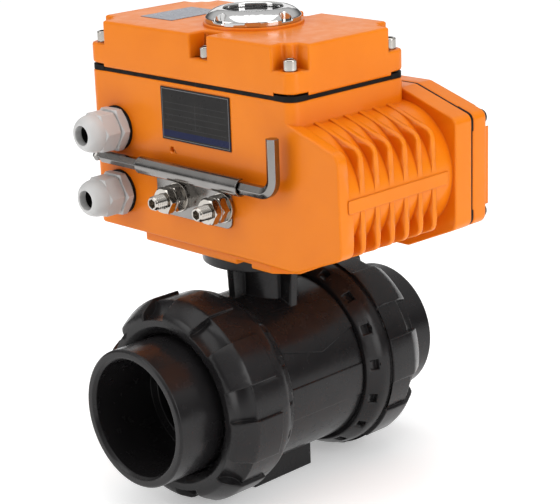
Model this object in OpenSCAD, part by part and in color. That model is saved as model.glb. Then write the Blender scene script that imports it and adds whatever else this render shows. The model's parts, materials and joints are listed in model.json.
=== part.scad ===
// Motorized ball valve: a quarter-turn electric actuator on a double-union plastic valve.
// The origin is on the underside of the valve's foot, below the drive axis.
// +X runs along the front face, +Y runs along the pipe and away from the front, +Z is up.

/* [Pipe and valve] */
// Height of the pipe axis above the foot
axis_z = 58; // [57:0.5:60]
// Radius of the two pipe sockets
socket_r = 31.5; // [31:0.1:32]
// Outer radius of the two pipe sockets
socket_outer_r = 37.3; // [36.5:0.1:37.8]
// Half length of the valve, from the drive axis to a socket's mouth
half_length = 97; // [90:0.5:105]
// Radius of the flow passage
passage_r = 25.5; // [22:0.5:26]
// Radius of the ball
ball_r = 36; // [35:0.1:36.2]
// Radius of the valve body between its nuts
body_r = 47; // [46:0.5:48]
// Radius of the union nuts over their lobes
nut_r = 56.4; // [56:0.1:57]
// Grip pockets round each union nut
nut_pockets = 8; // [6:1:8]
// Notches round the inner rim of each union nut
nut_notches = 16; // [8:1:16]
// Radius of the valve stem
stem_r = 9; // [8:0.1:9]
// Radius of the valve's mounting pad
pad_r = 32.5; // [31:0.5:33]
// Pitch circle diameter of the pad bolts
pad_pcd = 50; // [50:1:50]

/* [Actuator casing] */
// Left side of the casing
box_left = -87; // [-90:1:-86]
// Right side of the casing above the motor
box_right = 67.9; // [67.5:0.1:69]
// Front face of the casing
box_front = -41.85; // [-42.5:0.05:-41.5]
// Rear face of the casing
box_rear = 43; // [43:0.1:44]
// Underside of the casing
box_bottom = 137.4; // [137:0.1:138]
// Underside of the lid gasket
joint_z = 223.5; // [223:0.1:224]
// Thickness of the lid gasket
gasket_t = 2; // [1.5:0.1:2.5]
// Bolt seats of the lid
seat_z = 238.2; // [238:0.1:239]
// Top of the lid
lid_top = 250.8; // [250:0.1:252]
// Thickness of the casting
wall = 5; // [4:0.5:5]
// Corner radius of the casing
corner_r = 6.5; // [5:0.5:7]

/* [Motor housing] */
// Right side of the motor housing and its fins
motor_side = 98.7; // [98:0.1:100]
// Motor axis, X
motor_x = 62.8; // [62.8:0.1:63]
// Motor axis, Z
motor_z = 175.5; // [175.5:0.1:175.6]
// Radius of the motor barrel
barrel_r = 35.4; // [34.5:0.1:36]
// Number of cooling fins
fin_count = 6; // [4:1:6]
// Distance from fin to fin
fin_pitch = 10.75; // [10.5:0.05:10.8]
// Thickness of a fin
fin_t = 3.4; // [3:0.1:3.6]
// Front face of the rear gearcase flange
flange_front = 42.9; // [42.5:0.1:42.9]
// Joint between the gearcase flange and its cover
flange_rear = 56; // [55:0.5:56]
// Rear face of the gearcase cover
cover_rear = 73.4; // [73:0.1:74]

/* [Drive] */
// Module of the spur gears
gear_module = 0.8; // [0.8:0.1:0.8]
// Teeth of the two pinions
pinion_teeth = 14; // [14:1:14]
// Teeth of the two large spur gears
gear_teeth = 42; // [42:1:42]
// Module of the worm drive
worm_module = 1; // [1:0.1:1]
// Teeth of the worm wheel
wheel_teeth = 45; // [45:1:45]
// Pitch radius of the worm
worm_pitch_r = 6.5; // [6.5:0.1:6.5]
// Height of the worm and of the wheel's middle
worm_z = 174; // [174:0.1:174]
// Radius of the motor
motor_r = 25; // [24:0.1:25]
// Radius of the motor's and the worm's shafts
shaft_r = 4; // [4:0.1:4]

/* [Fittings] */
// Distance of each stop screw from the drive axis
stop_x = 17; // [16.5:0.1:17.5]
// Height of the stop screws
stop_z = 163; // [162.5:0.1:163.5]
// Radius of the stop screws
stop_r = 4; // [4:0.1:4]
// X of the two cable glands
gland_x = -65.5; // [-66:0.1:-65]
// Height of the lower cable gland
gland_low_z = 157.8; // [157:0.1:159]
// Height of the upper cable gland
gland_high_z = 193.4; // [193.4:0.1:194]
// Radius of the hole in each gland's seal
cable_r = 5.05; // [4.8:0.05:5.1]
// Hex key, across its flats
key_flats = 6; // [6:0.1:6]
// Height of the stored hex key
key_z = 178.2; // [178:0.1:178.2]
// Y of the stored hex key
key_y = -49.2; // [-50:0.1:-49]

/* [Hidden] */
$fn = 64;

// Clearances
slip = 0.3;          // between pieces that move past each other
running = 0.05;      // a shaft in its bearing, on the radius
overcut = 1;         // how far a cutter runs past what it cuts

// Valve
thread_r = 44;       // outside thread of the body, under the nuts
body_half = 28;      // half length of the body between the nuts
end_y = 50;          // end faces of the body
cavity_r = 38;       // ball cavity
seat_r = 34;         // outside of a ball seat
seat_face = 20;      // inner face of a ball seat
seat_back = 28;      // outer face of a ball seat
neck_r = 16;         // core of the neck
pad_top = 132;       // top of the mounting pad
pad_t = 8;           // thickness of the mounting pad
head_depth = 4.6;    // counterbores under the pad for the bolt heads
collar_r = 42;       // collar of an end connector
collar_y = 58;       // outer face of that collar
nut_face = 72;       // outer face of a nut
foot_x = 16;         // half width of the foot
foot_front = -27;
foot_rear = 17;
insert_y = [-15, 5]; // threaded inserts in the foot

// Lid bolts
bolt_x = [-80.2, 1.45, 61.4];
bolt_y = [-35.6, 36.7];
bolt_r = 2.5;
bolt_head_r = 3.6;

// Drive
output_z0 = 133.2;   // underside of the output shaft
hub_r = 13;          // output shaft in its bush
mid_r = 9;           // output shaft through wheel, cams and deck
deck_z = 186;        // underside of the deck plate
deck_t = 2.5;
worm_x = worm_module * wheel_teeth / 2 + worm_pitch_r;
spur_a = gear_module * (pinion_teeth + gear_teeth) / 2;
worm_gap = [motor_x - worm_x, motor_z - worm_z];
half_gap = norm(worm_gap) / 2;
idler_rise = sqrt(spur_a * spur_a - half_gap * half_gap);
idler_x = (motor_x + worm_x) / 2 - idler_rise * worm_gap[1] / (2 * half_gap);
idler_z = (motor_z + worm_z) / 2 + idler_rise * worm_gap[0] / (2 * half_gap);
pocket_y = flange_front + 3.6;            // floor of the gearcase pocket
plane_1 = [pocket_y + 3, pocket_y + 8];   // motor pinion and large idler gear
plane_2 = [pocket_y + 9, pocket_y + 14];  // small idler pinion and worm gear
bearing_r = 8;
bearing_t = 5;

orange = "darkorange";
steel = "silver";
pvc = [0.16, 0.15, 0.15];
rubber = [0.06, 0.06, 0.06];
brass = [0.75, 0.6, 0.3];

// ---------------------------------------------------------------- helpers

// A round bar along Y, from y0 to y1
module bar_y(y0, y1, r) {
    translate([0, y1, 0]) rotate([90, 0, 0]) cylinder(h = y1 - y0, r = r);
}

// A flat shape drawn in X and Z, given thickness from y0 to y1
module plate_y(y0, y1) {
    translate([0, y1, 0]) rotate([90, 0, 0]) linear_extrude(y1 - y0) children();
}

// A shape drawn as [radius, y], turned about the Y axis
module turned_y() {
    rotate([-90, 0, 0]) rotate_extrude() children();
}

// A box from one corner to the other
module box(low, high) {
    translate(low) cube(high - low);
}

// A tube along Y
module tube_y(y0, y1, inner, outer) {
    difference() {
        bar_y(y0, y1, outer);
        bar_y(y0 - overcut, y1 + overcut, inner);
    }
}

// A tube along Z
module tube_z(z0, z1, inner, outer) {
    translate([0, 0, z0]) difference() {
        cylinder(h = z1 - z0, r = outer);
        translate([0, 0, -overcut]) cylinder(h = z1 - z0 + 2 * overcut, r = inner);
    }
}

// A rectangle with round corners
module rounded_rectangle(x0, x1, y0, y1, r) {
    translate([x0 + r, y0]) square([x1 - x0 - 2 * r, y1 - y0]);
    translate([x0, y0 + r]) square([x1 - x0, y1 - y0 - 2 * r]);
    for (x = [x0 + r, x1 - r], y = [y0 + r, y1 - r]) translate([x, y]) circle(r);
}

// The points of an outline with its corners rounded: each entry is [x, y, radius]
function round_corner(p, before, after, steps) =
    let (
        u = (before - [p[0], p[1]]) / norm(before - [p[0], p[1]]),
        v = (after - [p[0], p[1]]) / norm(after - [p[0], p[1]]),
        half = acos(u * v) / 2,
        centre = [p[0], p[1]] + (u + v) / norm(u + v) * p[2] / sin(half),
        first = [p[0], p[1]] + u * p[2] / tan(half) - centre,
        last = [p[0], p[1]] + v * p[2] / tan(half) - centre,
        a0 = atan2(first[1], first[0]),
        sweep = (atan2(last[1], last[0]) - a0 + 900) % 360 - 180
    )
    [for (i = [0:steps]) centre + p[2] * [cos(a0 + sweep * i / steps), sin(a0 + sweep * i / steps)]];

function flat_point(p) = [p[0], p[1]];

function rounded_outline(points, steps = 5) =
    [for (i = [0:len(points) - 1])
        let (
            n = len(points),
            before = flat_point(points[(i + n - 1) % n]),
            after = flat_point(points[(i + 1) % n])
        )
        each (points[i][2] > 0
            ? round_corner(points[i], before, after, steps)
            : [flat_point(points[i])])];

// Involute gear: the polar angle of a flank at radius r, and the tooth's half angle there
function involute_angle(r, base) = sqrt(max(0, r * r / (base * base) - 1)) * 180 / PI
    - acos(min(1, base / r));

function half_tooth(r, m, teeth, pressure, backlash) =
    let (
        pitch = m * teeth / 2,
        base = pitch * cos(pressure)
    )
    (PI * m / 2 - backlash) / (2 * pitch) * 180 / PI
    + involute_angle(pitch, base) - involute_angle(max(r, base), base);

// One tooth is centred on the +X axis
module gear_outline(m, teeth, pressure, backlash, addendum, dedendum) {
    pitch = m * teeth / 2;
    tip = pitch + addendum;
    root = pitch - dedendum;
    levels = [root, pitch - dedendum / 3, pitch, pitch + addendum / 2, tip];
    polygon([for (k = [0:teeth - 1])
        let (middle = k * 360 / teeth)
        each concat(
            [for (r = levels)
                let (a = middle - half_tooth(r, m, teeth, pressure, backlash))
                r * [cos(a), sin(a)]],
            [for (i = [len(levels) - 1:-1:0])
                let (
                    r = levels[i],
                    a = middle + half_tooth(r, m, teeth, pressure, backlash)
                )
                r * [cos(a), sin(a)]])]);
}

// The angle that puts gear b in mesh with gear a, when b lies in direction `toward` from a
function mesh_angle(toward, angle_a, teeth_a, teeth_b) =
    toward + 180 - 360 / teeth_b * (0.5 - (toward - angle_a) * teeth_a / 360);

module spur_gear(teeth, turn, y0, y1, bore) {
    plate_y(y0, y1) difference() {
        rotate(turn) gear_outline(gear_module, teeth, 20, 0.16, 0.8 * gear_module, 1.1 * gear_module);
        circle(bore);
    }
}

// A hexagonal nut or head along Y, with flats facing up
module hex_y(y0, y1, flats) {
    translate([0, y1, 0]) rotate([90, 0, 0]) cylinder(h = y1 - y0, r = flats / sqrt(3), $fn = 6);
}

// The same with its corners chamfered at one end or both
module nut_y(y0, y1, flats, bore) {
    chamfer = flats * 0.08;
    difference() {
        intersection() {
            hex_y(y0, y1, flats);
            turned_y() polygon([
                [0, y0], [flats / 2, y0], [flats / 2 + chamfer * 2, y0 + chamfer],
                [flats / 2 + chamfer * 2, y1 - chamfer], [flats / 2, y1], [0, y1]]);
        }
        bar_y(y0 - overcut, y1 + overcut, bore);
    }
}

module at_gland(z) translate([gland_x, 0, z]) children();
module at_both_glands() {
    for (z = [gland_low_z, gland_high_z]) at_gland(z) children();
}
module at_stops() {
    for (x = [-stop_x, stop_x]) translate([x, 0, stop_z]) children();
}
module at_motor() translate([motor_x, 0, motor_z]) children();
module at_idler() translate([idler_x, 0, idler_z]) children();
module at_worm() translate([worm_x, 0, worm_z]) children();
module at_pad_bolts() {
    for (a = [45:90:315]) rotate(a) translate([pad_pcd / 2, 0, 0]) children();
}
module at_lid_bolts() {
    for (x = bolt_x, y = bolt_y) translate([x, y, 0]) children();
}

// ---------------------------------------------------------------- casing

// Outline of the casing seen from above
module casing_outline(inset = 0) {
    rounded_rectangle(box_left + inset, box_right - inset, box_front + inset, box_rear - inset,
        corner_r - inset / 2);
}

// Outline of the motor housing and its fins, seen from the front
motor_outline = [
    [40, 222, 0], [66, 212.2, 3], [motor_side - 1.2, 201.2, 6],
    [motor_side, 149.6, 5], [66.5, 136.8, 4], [40, 137.4, 0]
];

// Outline of the rear gearcase, seen from the front
gearcase_outline = [
    [3, 217, 6], [63.4, 217, 5], [100.4, 204.6, 4.5],
    [100.4, 146.5, 5], [67, 131.8, 5], [3, 131.8, 6]
];

// The same outline drawn in by the thickness of its wall
gearcase_inside = [
    [9, 211, 3], [62.4, 211, 3], [94.4, 200.5, 3],
    [94.4, 150.5, 3], [66, 138.4, 3], [9, 138.4, 3]
];

fin_front = -25.2;   // middle of the first fin
plate_rear = -34.9;  // rear face of the front plate of the motor housing
band_z = [171.6, 178.4];

module motor_housing() {
    plate_y(box_front, plate_rear) polygon(rounded_outline(motor_outline));
    // The front plate is thicker below the band
    intersection() {
        plate_y(box_front, plate_rear + 2.6) polygon(rounded_outline(motor_outline));
        box([motor_x, box_front - overcut, 100], [motor_side + overcut, 0, band_z[0] + overcut]);
    }
    for (i = [0:fin_count - 1]) {
        y = fin_front + i * fin_pitch;
        plate_y(y - fin_t / 2, y + fin_t / 2) polygon(rounded_outline(motor_outline));
    }
    at_motor() bar_y(plate_rear, flange_front, barrel_r);
    box([motor_x + 20, plate_rear - overcut, band_z[0]], [motor_side, 39, band_z[1]]);
    plate_y(flange_front, flange_rear) polygon(rounded_outline(gearcase_outline));
}

// Places of the four gearcase cover screws, as [x, z]
cover_screws = [[10, 210.5], [92.8, 200.2], [92.8, 149.8], [10, 138.3]];

// The hollow of the gearcase, with bosses left round the cover screws
module gearcase_pocket(boss_r = 5.5) {
    difference() {
        polygon(rounded_outline(gearcase_inside));
        for (p = cover_screws) translate([p[0], p[1]]) circle(boss_r);
    }
}

module lower_housing() {
    floor_z = box_bottom + 4;
    shelf_floor_z = capacitor_z - capacitor_r;
    color(orange) difference() {
        union() {
            // Casing, mounting pad underneath, motor housing
            difference() {
                union() {
                    translate([0, 0, box_bottom]) linear_extrude(joint_z - box_bottom) casing_outline();
                    motor_housing();
                }
                // Main compartment, and the shallow one above the motor
                difference() {
                    box([box_left + wall, box_front + wall, floor_z],
                        [37.5, box_rear - wall, joint_z + overcut]);
                    at_lid_bolts() translate([0, 0, floor_z]) cylinder(h = 100, r = corner_r);
                }
                difference() {
                    box([37, box_front + wall, shelf_floor_z],
                        [box_right - wall, box_rear - wall, joint_z + overcut]);
                    at_lid_bolts() translate([0, 0, floor_z]) cylinder(h = 100, r = corner_r);
                }
            }
            translate([0, 0, pad_top]) linear_extrude(box_bottom - pad_top + overcut) polygon([
                [-50.5, -39], [47, -39], [59, -30], [59, 38], [-50.5, 38]]);
            // Boss round the output shaft
            tube_z(floor_z - overcut, 150, 10, 20);
            // Posts that carry the deck plate
            for (p = deck_screws)
                translate([p[0], p[1], floor_z - overcut]) cylinder(h = deck_z - floor_z + overcut, r = 4.5);
            // Bosses of the stop screws and of the worm's front bearing
            at_stops() bar_y(box_front + 2, -28, 7.5);
            at_worm() bar_y(box_front + 2, -29, 10.5);
        }
        // Gearcase pocket, motor bore, worm bearings
        plate_y(pocket_y, flange_rear + overcut) gearcase_pocket();
        at_motor() bar_y(-33, pocket_y + overcut, motor_r + running);
        at_worm() bar_y(-34.5, -28, bearing_r + running);
        at_worm() bar_y(box_rear - wall - overcut, pocket_y + overcut, bearing_r + running);
        // Output shaft, its bush and seal
        translate([0, 0, pad_top - overcut]) cylinder(h = 30, r = 15.5);
        // Pad bolts, lid bolts, stop screws, glands, deck and cover screws
        at_pad_bolts() translate([0, 0, pad_top - overcut]) cylinder(h = 8, r = 3);
        at_lid_bolts() translate([0, 0, joint_z - 16]) cylinder(h = 20, r = bolt_r);
        at_stops() bar_y(box_front - overcut, -27, stop_r + running);
        at_both_glands() bar_y(box_front - overcut, box_front + wall + overcut, 8);
        for (p = deck_screws) translate([p[0], p[1], deck_z - 10]) cylinder(h = 12, r = 1.5);
        for (p = cover_screws) translate([p[0], 0, p[1]]) bar_y(flange_rear - 10, flange_rear + overcut, 1.9);
        // Blind pin hole under the nameplate, relief in the pad's lower edge
        translate([-21.8, 0, 187.4]) bar_y(box_front - overcut, box_front + 2, 1.2);
        box([21.4, -45, pad_top - overcut], [31.9, -33, pad_top + 2.2]);
    }
}

// Pocket over a corner bolt, seen from above: it bends round a rounded corner of the lid
module corner_pocket(grow) {
    long = 6.8 + grow;
    short = 1.8 + grow;
    polygon(rounded_outline([
        [30, -long, 0], [30, 30, 0], [-long, 30, 0],
        [-long, -short, 1.2], [-short, -short, grow > 0 ? 1 : 3.6], [-short, -long, 1.2]]));
}

// Pocket over a middle bolt, open to the front or rear
module side_pocket(grow) {
    half = 6.3 + grow;
    polygon(rounded_outline([[-half, 30, 0], [-half, -half, 2], [half, -half, 2], [half, 30, 0]]));
}

// The upper part of the lid, cut away over the bolts
module lid_block(inset, top) {
    difference() {
        translate([0, 0, seat_z - 5]) linear_extrude(top - seat_z + 5) casing_outline(inset);
        for (x = bolt_x, y = bolt_y) translate([x, y, seat_z]) linear_extrude(30)
            scale([x < 0 ? -1 : 1, sign(y)]) {
                if (x == bolt_x[1]) side_pocket(inset);
                else corner_pocket(inset);
            }
    }
}

module at_corner_bolts() {
    for (x = [bolt_x[0], bolt_x[2]], y = bolt_y) translate([x, y, 0]) children();
}
relief_r = 8.5;      // relief under the lid at its corner bolts
relief_t = 1.6;

module top_cover() {
    color(orange) difference() {
        union() {
            translate([0, 0, joint_z + gasket_t]) linear_extrude(seat_z - joint_z - gasket_t)
                casing_outline();
            lid_block(0, lid_top);
            // Low ring that carries the bezel
            translate([0, 0, lid_top - overcut]) cylinder(h = overcut + 1.5, r = 26.5);
        }
        difference() {
            translate([0, 0, joint_z]) linear_extrude(lid_top - 4 - joint_z) casing_outline(wall);
            at_lid_bolts() cylinder(h = 300, r = corner_r + 1.5);
            difference() {
                translate([0, 0, seat_z - 4]) linear_extrude(30) casing_outline(0);
                lid_block(wall, lid_top + 10);
            }
        }
        // Window opening, and a groove for the bezel's skirt
        translate([0, 0, lid_top - 10]) cylinder(h = 20, r = 16.2);
        tube_z(bezel_z - 3.2, bezel_z + overcut, 18.95, 19.85);
        at_lid_bolts() translate([0, 0, joint_z]) cylinder(h = 30, r = bolt_r + 0.3);
        at_corner_bolts() translate([0, 0, joint_z]) cylinder(h = gasket_t + relief_t, r = relief_r);
    }
}

module cover_gasket() {
    color(rubber) difference() {
        union() {
            translate([0, 0, joint_z]) linear_extrude(gasket_t) difference() {
                casing_outline(0.4);
                casing_outline(wall - 0.4);
            }
            // Ears round the bolts, thicker in the lid's reliefs
            intersection() {
                translate([0, 0, joint_z]) linear_extrude(gasket_t + relief_t) casing_outline(0.2);
                union() {
                    at_lid_bolts() translate([0, 0, joint_z]) cylinder(h = gasket_t, r = corner_r);
                    at_corner_bolts() translate([0, 0, joint_z])
                        cylinder(h = gasket_t + relief_t / 2, r = relief_r - 0.1);
                }
            }
        }
        at_lid_bolts() translate([0, 0, joint_z - overcut]) cylinder(h = 20, r = bolt_r + 0.3);
    }
}

module cover_bolts() {
    color(steel) at_lid_bolts() difference() {
        union() {
            translate([0, 0, joint_z - 13]) cylinder(h = seat_z - joint_z + 13, r = bolt_r);
            translate([0, 0, seat_z]) cylinder(h = 5.2, r = bolt_head_r);
            translate([0, 0, seat_z + 5.2]) cylinder(h = 0.5, r1 = bolt_head_r, r2 = bolt_head_r - 0.5);
        }
        translate([0, 0, seat_z + 2.7]) cylinder(h = 5, r = 2.3, $fn = 6);
    }
}

// ---------------------------------------------------------------- gearcase cover

cover_outline = [
    [3.6, 217, 6], [63.2, 217, 5], [99.9, 204.6, 4.5],
    [99.9, 146.5, 5], [66.8, 131.8, 5], [3.6, 131.8, 6]
];

rear_gasket_t = 1.2;
rim_y = cover_rear - 5;  // rear face of the cover's rim, under the screw heads

module rear_cover() {
    front = flange_rear + rear_gasket_t;
    color(orange) difference() {
        union() {
            plate_y(front, rim_y) polygon(rounded_outline(cover_outline));
            plate_y(front, cover_rear) difference() {
                polygon(rounded_outline([
                    [6, 214.5, 6], [62.6, 214.5, 5], [97.6, 202.8, 4.5],
                    [97.6, 147.9, 5], [66.2, 134.4, 5], [6, 134.4, 6]]));
                for (p = cover_screws) translate([p[0], p[1]]) circle(6.4);
            }
        }
        plate_y(front - overcut, cover_rear - 4.5) gearcase_pocket(8.6);
        // Relief for the gasket's ears
        for (p = cover_screws) translate([p[0], 0, p[1]]) bar_y(front - overcut, front + 0.9, 8);
        for (p = cover_screws) translate([p[0], 0, p[1]]) bar_y(front - overcut, cover_rear + overcut, 2.2);
    }
}

module rear_cover_gasket() {
    gasket_outline = [
        [3.8, 216.8, 6], [63, 216.8, 5], [99.7, 204.4, 4.5],
        [99.7, 146.7, 5], [66.8, 132, 5], [3.8, 132, 6]
    ];
    color(rubber) difference() {
        union() {
            plate_y(flange_rear, flange_rear + rear_gasket_t) polygon(rounded_outline(gasket_outline));
            plate_y(flange_rear, flange_rear + rear_gasket_t + 0.7) intersection() {
                polygon(rounded_outline(gasket_outline));
                for (p = cover_screws) translate([p[0], p[1]]) circle(7.9);
            }
        }
        plate_y(flange_rear - overcut, flange_rear + 5) gearcase_pocket(8.6);
        for (p = cover_screws) translate([p[0], 0, p[1]]) bar_y(flange_rear - overcut, flange_rear + 5, 2.2);
    }
}

module rear_cover_screws() {
    color(rubber) for (p = cover_screws) translate([p[0], 0, p[1]]) {
        bar_y(flange_rear - 8, rim_y, 1.9);
        difference() {
            intersection() {
                bar_y(rim_y, rim_y + 6, 4);
                translate([0, rim_y - 0.4, 0]) sphere(6.2);
            }
            hex_y(rim_y + 3, rim_y + 9, 3);
        }
    }
}

// ---------------------------------------------------------------- position indicator

bezel_z = lid_top + 1.5;

module indicator_bezel() {
    color(steel) difference() {
        translate([0, 0, bezel_z]) rotate_extrude() polygon([
            [19, -3], [19.8, -3], [19.8, 0], [25, 0], [25.2, 0.4], [25.2, 2.6],
            [24.6, 3.4], [23.4, 4.6], [21.6, 5.9], [19.4, 6.8], [17.2, 7.2], [15.9, 7],
            [15.4, 6.4], [15.4, 4.6], [19, 4.6]]);
        // Four flutes for a pin wrench, and small notches in the rim between them
        for (a = [0:90:270]) {
            rotate(a) translate([25, 0, bezel_z + 1.6]) cylinder(h = 10, r = 4);
            rotate(a + 45) box([24, -3.5, bezel_z - overcut], [27, 3.5, bezel_z + 2.2]);
        }
    }
}

module sight_window() {
    color("lightgray", 0.4) translate([0, 0, bezel_z + 2]) cylinder(h = 2.6, r = 18.9);
}

module window_seal() {
    color(rubber) translate([0, 0, bezel_z + 1]) rotate_extrude()
        translate([17.5, 0]) circle(r = 1, $fn = 24);
}

module indicator_disc() {
    color("black") difference() {
        union() {
            translate([0, 0, 245.5]) cylinder(h = 2, r = 15);
            translate([0, 0, 240.5]) cylinder(h = 6, r = 7);
            // Raised arrow along the flow passage
            translate([0, 0, 247]) linear_extrude(1.3) polygon([
                [-2, -12], [2, -12], [2, 5], [5.5, 5], [0, 13], [-5.5, 5], [-2, 5]]);
        }
        translate([0, 0, 240]) cylinder(h = 5, r = 5);
    }
}

// ---------------------------------------------------------------- plates on the front

module nameplate() {
    color([0.15, 0.15, 0.17]) box([-28, box_front - 0.6, 193], [24, box_front, 221]);
}

module lid_label() {
    color([0.6, 0.65, 0.7]) box([-66, -21, lid_top], [-41, 16, lid_top + 0.3]);
}

clip_x = [-39, 38];

module key_clip() {
    sleeve_in = 3.8;
    sleeve_out = 4.75;
    shelf_z = key_z - sleeve_out;
    color(steel) difference() {
        union() {
            // Plate under the stop screws, with round lower corners
            plate_y(box_front - 1.2, box_front) polygon(rounded_outline([
                [-34, 152, 4], [23, 152, 4], [23, shelf_z + 1, 0], [-34, shelf_z + 1, 0]]));
            // Shelf and the sleeve that holds the key
            box([clip_x[0] + 2, key_y, shelf_z], [clip_x[1] - 2, box_front, shelf_z + 1]);
            translate([clip_x[0], key_y, key_z]) rotate([0, 90, 0])
                cylinder(h = clip_x[1] - clip_x[0], r = sleeve_out);
        }
        translate([clip_x[0] - overcut, key_y, key_z]) rotate([0, 90, 0])
            cylinder(h = clip_x[1] - clip_x[0] + 2 * overcut, r = sleeve_in);
        // The sleeve is open along its top rear quarter
        box([clip_x[0] - overcut, key_y + 1, key_z + 1], [clip_x[1] + overcut, box_front - 1.5, key_z + 9]);
        at_stops() bar_y(box_front - 5, box_front + overcut, stop_r + 0.3);
    }
}

module hex_key() {
    corner = key_flats / sqrt(3);
    left = -77;
    right = 61;
    bend = 8;
    top = key_z + bend + 20.5;
    steps = 12;
    // Rings along the bar, each as x, z, the angle turned there and the ring's size
    ball_end = [[0, 0.5], [0.7, 0.8], [1.7, 0.97], [3, 0.97], [4.2, 0.8], [5, 0.66], [6.2, 0.66], [7, 1]];
    rings = concat(
        [for (b = ball_end) [left + b[0], key_z, 0, b[1]]],
        [for (i = [0:steps])
            let (a = 90 * i / steps)
            [right - bend + bend * sin(a), key_z + bend - bend * cos(a), a, 1]],
        [[right, top, 90, 1]]);
    points = [for (r = rings, k = [0:5])
        let (rise = r[3] * corner * sin(60 * k))
        [r[0] - rise * sin(r[2]), key_y + r[3] * corner * cos(60 * k), r[1] + rise * cos(r[2])]];
    last = 6 * (len(rings) - 1);
    color(steel) polyhedron(points, concat(
        [[for (k = [0:5]) k]],
        [for (i = [0:6:last - 6], k = [0:5])
            [i + k, i + 6 + k, i + 6 + (k + 1) % 6, i + (k + 1) % 6]],
        [[for (k = [5:-1:0]) last + k]]));
}

// ---------------------------------------------------------------- stop screws

stop_tip_y = -61.8;
stop_face_y = -8;    // faces of the stop cam

module stop_screw() {
    color(steel) difference() {
        union() {
            bar_y(stop_tip_y + 0.6, stop_face_y - 0.3, stop_r);
            bar_y(stop_tip_y, stop_tip_y + 1, stop_r - 0.6);
        }
        hex_y(stop_tip_y - overcut, stop_tip_y + 5, 4.6);
    }
}
module stop_screw_left() translate([-stop_x, 0, stop_z]) stop_screw();
module stop_screw_right() translate([stop_x, 0, stop_z]) stop_screw();

module stop_lock_nuts() {
    color(steel) at_stops() {
        nut_y(-49.4, -44.35, 13, stop_r + running);
        nut_y(-54.6, -50.4, 13, stop_r + running);
    }
}

module stop_washers() {
    color(steel) at_stops() {
        tube_y(-44.35, box_front - 1.2, stop_r + 0.3, 8);
        tube_y(-50.4, -49.4, stop_r + 0.3, 7);
    }
}

// ---------------------------------------------------------------- cable glands

gland_base = box_front - 1.2;

module gland_body() {
    difference() {
        union() {
            bar_y(gland_base, box_front + wall + 2, 7.95);
            nut_y(gland_base - 5.2, gland_base, 22.4, 6);
            bar_y(-58, gland_base - 5, 8.4);
        }
        bar_y(-59, 0, 6.3);
    }
}
module gland_bodies() color("gainsboro") at_both_glands() gland_body();

module gland_cap() {
    back = gland_base - 5.5;
    tip = -67.2;
    color("gainsboro") difference() {
        union() {
            nut_y(back - 10, back, 20.4, 6);
            turned_y() polygon(concat(
                [[0, back - 8], [10.1, back - 8]],
                [for (a = [0:10:80]) [5.9 + 4.5 * cos(a), back - 10.3 - (back - 10.3 - tip) * sin(a)]],
                [[5.4, tip], [0, tip]]));
        }
        bar_y(tip - overcut, back + overcut, 5.4);
        bar_y(-62.6, back + overcut, 8.4 + slip);
    }
}
module gland_cap_upper() at_gland(gland_high_z) gland_cap();
module gland_cap_lower() at_gland(gland_low_z) gland_cap();

module gland_gaskets() {
    color(rubber) at_both_glands() tube_y(gland_base, box_front, 8, 12.2);
}

module gland_seals() {
    color(rubber) at_both_glands() {
        tube_y(-58, -50, cable_r, 6.25);
        tube_y(-62.2, -58, cable_r, 8);
    }
}

// ---------------------------------------------------------------- motor and spur gears

module motor_stator() {
    color("dimgray") at_motor() tube_y(-25, 35, 15.6, motor_r);
}

module motor_end_caps() {
    color(steel) at_motor() {
        difference() {
            bar_y(-32, -25, motor_r);
            bar_y(-30, -24, bearing_r);
            bar_y(-40, 0, shaft_r + 0.5);
        }
        difference() {
            bar_y(35, pocket_y, motor_r);
            bar_y(34, 40, bearing_r);
            bar_y(0, 50, shaft_r + 0.5);
        }
    }
}

module motor_rotor() {
    color("slategray") at_motor() {
        bar_y(-20, 30, 15.2);
        bar_y(-31.5, plane_1[1] + 1.3, shaft_r);
    }
}

motor_to_idler = atan2(idler_z - motor_z, idler_x - motor_x);
idler_to_worm = atan2(worm_z - idler_z, worm_x - idler_x);
idler_turn = mesh_angle(motor_to_idler, 0, pinion_teeth, gear_teeth);
worm_turn = mesh_angle(idler_to_worm, idler_turn, pinion_teeth, gear_teeth);

module motor_pinion() {
    color(brass) at_motor() spur_gear(pinion_teeth, 0, plane_1[0], plane_1[1], shaft_r);
}

module ball_bearings() {
    color(steel) {
        at_motor() {
            tube_y(-30, -25, shaft_r + running, bearing_r);
            tube_y(35, 40, shaft_r + running, bearing_r);
        }
        at_worm() {
            tube_y(-34.5, -34.5 + bearing_t, shaft_r + running, bearing_r);
            tube_y(pocket_y - bearing_t, pocket_y, shaft_r + running, bearing_r);
        }
    }
}

pin_r = 3;

module gear_plate() {
    color(steel) difference() {
        plate_y(pocket_y, pocket_y + 2.4) polygon(rounded_outline([
            [14, 204, 3], [60, 207, 3], [86, 199, 3], [86, 152, 3], [64, 144, 3], [14, 145, 3]]));
        at_motor() bar_y(0, 60, 7);
        at_worm() bar_y(0, 60, 6);
        at_idler() bar_y(0, 60, pin_r);
        for (p = plate_screws) translate([p[0], 0, p[1]]) bar_y(0, 60, 1.7);
    }
}
plate_screws = [[19, 199], [19, 150], [81.5, 194], [81.5, 157]];

module idler_pin() {
    color(steel) at_idler() {
        bar_y(pocket_y, plane_2[1] + 2.8, pin_r);
        tube_y(plane_2[1] + 1.3, plane_2[1] + 2.3, pin_r - 0.5, pin_r + 1.5);
    }
}

module idler_gear() {
    color(brass) at_idler() {
        spur_gear(gear_teeth, idler_turn, plane_1[0], plane_1[1], pin_r + running);
        spur_gear(pinion_teeth, idler_turn, plane_1[1] - 0.1, plane_2[1], pin_r + running);
    }
}

module worm_gear() {
    color(brass) at_worm() {
        spur_gear(gear_teeth, worm_turn, plane_2[0], plane_2[1], shaft_r);
        tube_y(plane_2[1] - 0.1, plane_2[1] + 3, shaft_r, 7);
    }
}

// ---------------------------------------------------------------- worm drive

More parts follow.
